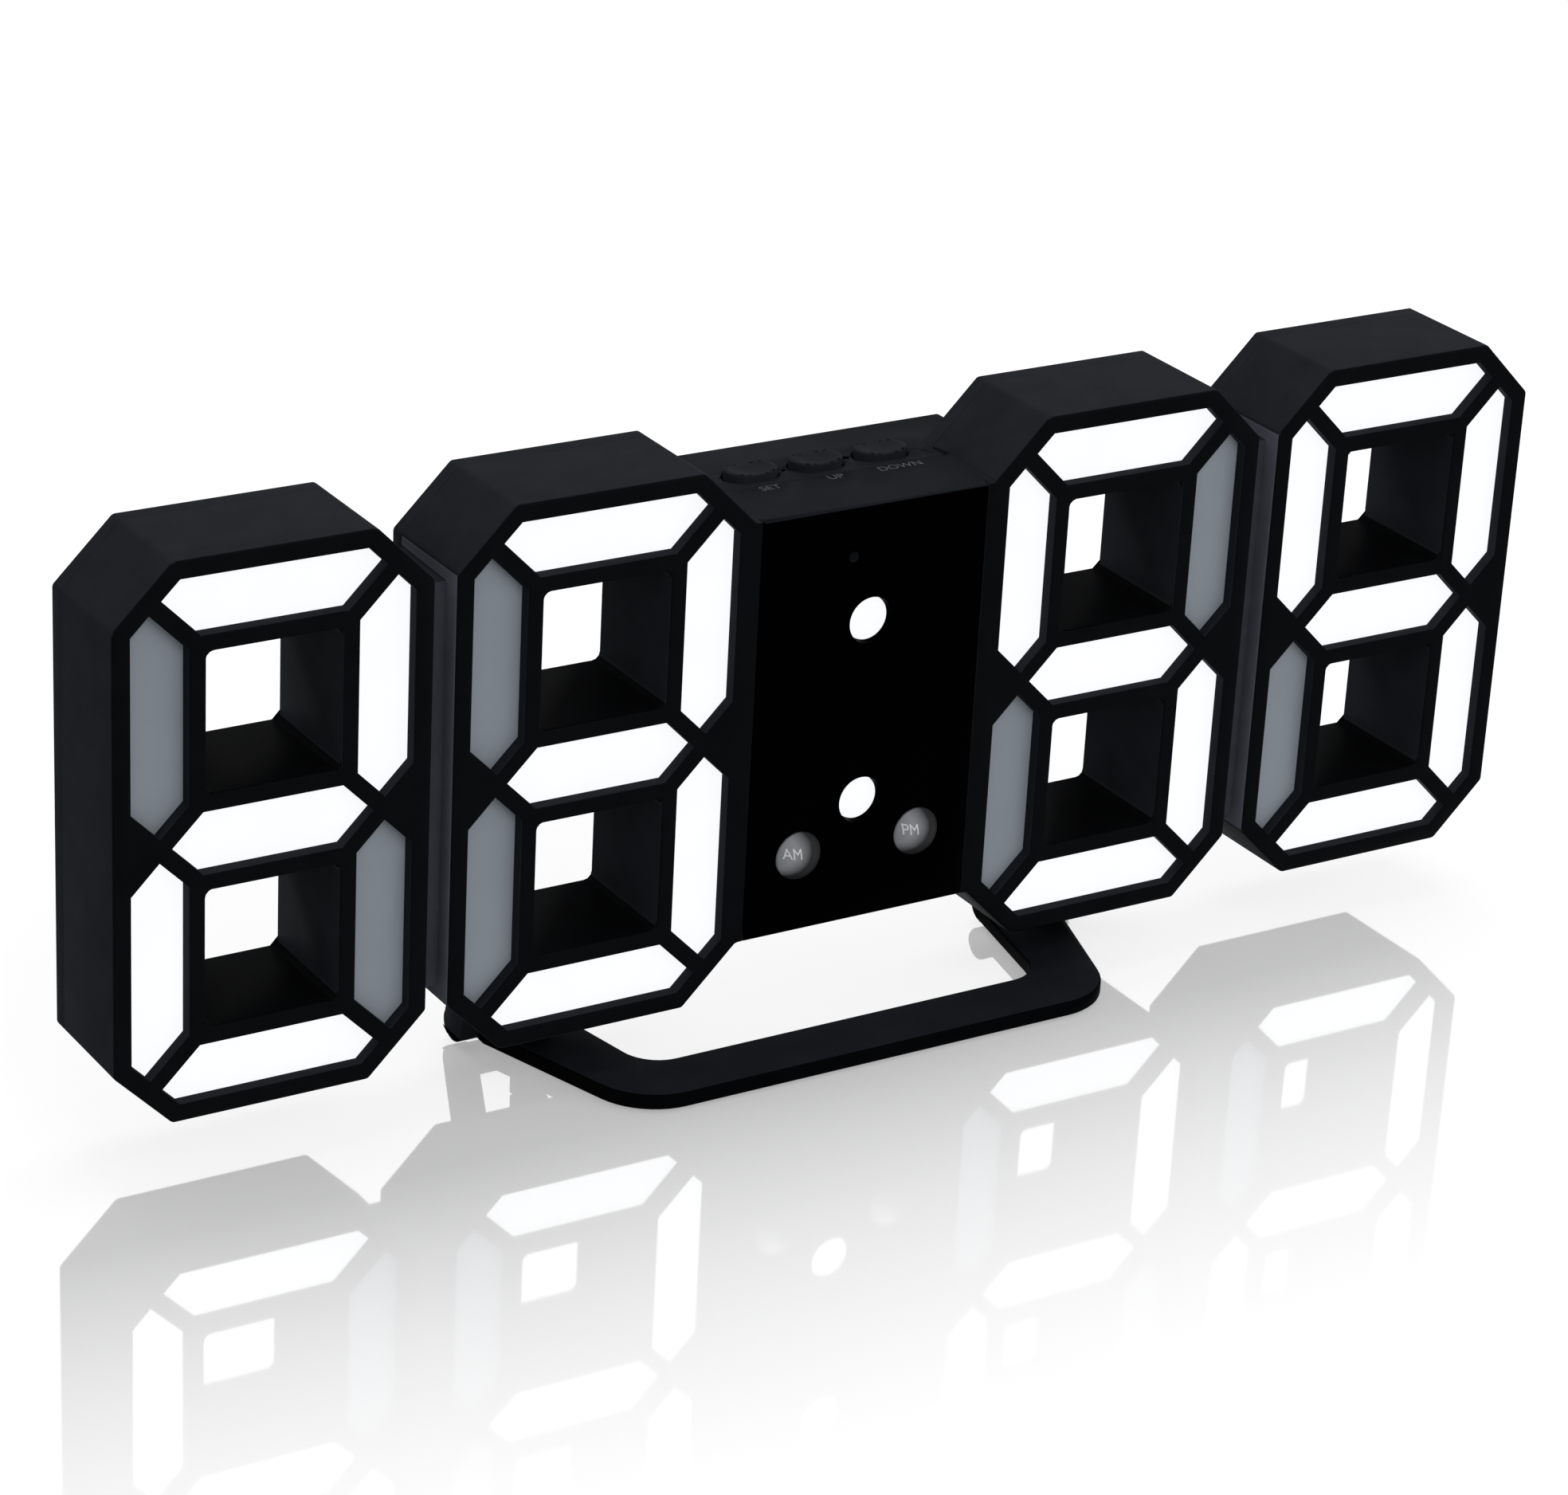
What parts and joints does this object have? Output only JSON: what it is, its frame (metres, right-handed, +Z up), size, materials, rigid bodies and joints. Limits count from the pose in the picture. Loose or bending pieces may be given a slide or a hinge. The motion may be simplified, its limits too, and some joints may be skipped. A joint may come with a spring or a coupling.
{
  "type": "numeral led clock",
  "caption": "Free-standing LED clock with open segment numerals, a glossy centre bar with colon lamps, push buttons on top, a rear housing and a folding loop stand.",
  "frame": {"origin": "on the table, under the middle of the clock's overall box", "axes": "+X to the right as seen from the front, +Y to the back, +Z up"},
  "size_m": [0.2428, 0.0404, 0.0959],
  "materials": {
    "black_plastic": "fine satin",
    "panel_gloss": "gloss",
    "lens_lit": "lit diffuser",
    "lens_dark": "unlit diffuser",
    "pilot_lens": "smoked gloss",
    "sensor_tip": "gloss",
    "reflector_white": "matte",
    "board_green": "solder mask",
    "led_chip": "phosphor",
    "black_part": "matte",
    "steel": "plated",
    "capacitor_sleeve": "sleeve",
    "contact_brass": "plain",
    "button_black": "satin",
    "stand_black": "satin",
    "pad_rubber": "matte"
  },
  "bodies": {
    "clock": {"front_shell": "black_plastic", "rear_cover": "black_plastic", "centre_panel": "panel_gloss", "digit_1_lit": "lens_lit", "digit_1_unlit": "lens_dark", "digit_2_lit": "lens_lit", "digit_2_unlit": "lens_dark", "digit_3_lit": "lens_lit", "digit_3_unlit": "lens_dark", "digit_4_lit": "lens_lit", "digit_4_unlit": "lens_dark", "colon_lenses": "lens_lit", "am_lens": "pilot_lens", "pm_lens": "pilot_lens", "light_sensor": "sensor_tip", "digit_1_reflector": "reflector_white", "digit_2_reflector": "reflector_white", "digit_3_reflector": "reflector_white", "digit_4_reflector": "reflector_white", "main_board": "board_green", "segment_leds": "led_chip", "indicator_leds": "led_chip", "board_headers": "black_part", "control_board": "board_green", "microcontroller": "black_part", "clock_chip": "black_part", "clock_crystal": "steel", "smoothing_capacitor": "capacitor_sleeve", "temperature_sensor": "black_part", "buzzer": "black_part", "cell_holder": "black_part", "coin_cell": "steel", "cell_contact": "contact_brass", "power_inlet": "black_part", "button_board": "board_green", "tact_switches": "black_part", "cover_screws": "steel", "board_screws": "steel", "hinge_pins": "steel"},
    "set_button": {"set_button": "button_black"},
    "up_button": {"up_button": "button_black"},
    "down_button": {"down_button": "button_black"},
    "battery_door": {"battery_door": "black_plastic"},
    "stand": {"stand": "stand_black", "stand_pads": "pad_rubber"}
  },
  "joints": [
    {"name": "stand_fold", "type": "hinge", "parent": "clock", "child": "stand", "pos_m": [0, 0.01375, 0.0033], "axis": [1, 0, 0], "range_deg": [0, 270]},
    {"name": "set_press", "type": "slide", "parent": "clock", "child": "set_button", "axis": [0, 0, -1], "range_m": [0, 0.0006], "stiffness_N_per_m": 800},
    {"name": "up_press", "type": "slide", "parent": "clock", "child": "up_button", "axis": [0, 0, -1], "range_m": [0, 0.0006], "stiffness_N_per_m": 800},
    {"name": "down_press", "type": "slide", "parent": "clock", "child": "down_button", "axis": [0, 0, -1], "range_m": [0, 0.0006], "stiffness_N_per_m": 800},
    {"name": "door_slide", "type": "slide", "parent": "clock", "child": "battery_door", "axis": [0, 0, -1], "range_m": [0, 0.026]}
  ]
}
